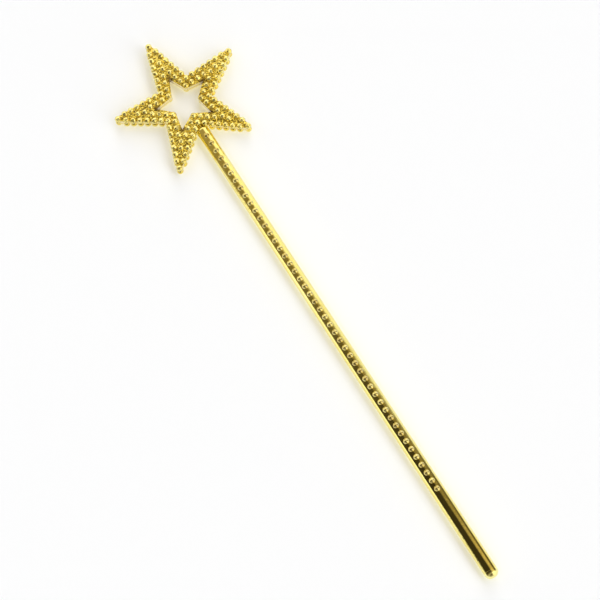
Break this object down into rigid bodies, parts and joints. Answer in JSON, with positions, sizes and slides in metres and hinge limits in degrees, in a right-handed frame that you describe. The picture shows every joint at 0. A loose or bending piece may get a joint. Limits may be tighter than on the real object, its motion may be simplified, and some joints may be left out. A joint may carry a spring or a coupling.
{
  "type": "toy magic wand",
  "caption": "Gold toy wand: a flat beaded star with a star-shaped window, on a long tapered rod with a row of beads and a smooth grip, for pretend play.",
  "frame": {"origin": "on the shaft's axis, at the middle of the smooth grip", "axes": "+Y along the shaft to the star, +Z out of the star's front, +X across the star"},
  "size_m": [0.0746, 0.3473, 0.0098],
  "materials": {
    "plated_gold": "electroplated, mirror gloss"
  },
  "bodies": {
    "root": {"star_front": "plated_gold", "star_back": "plated_gold", "shaft": "plated_gold", "end_plug": "plated_gold"}
  },
  "joints": []
}
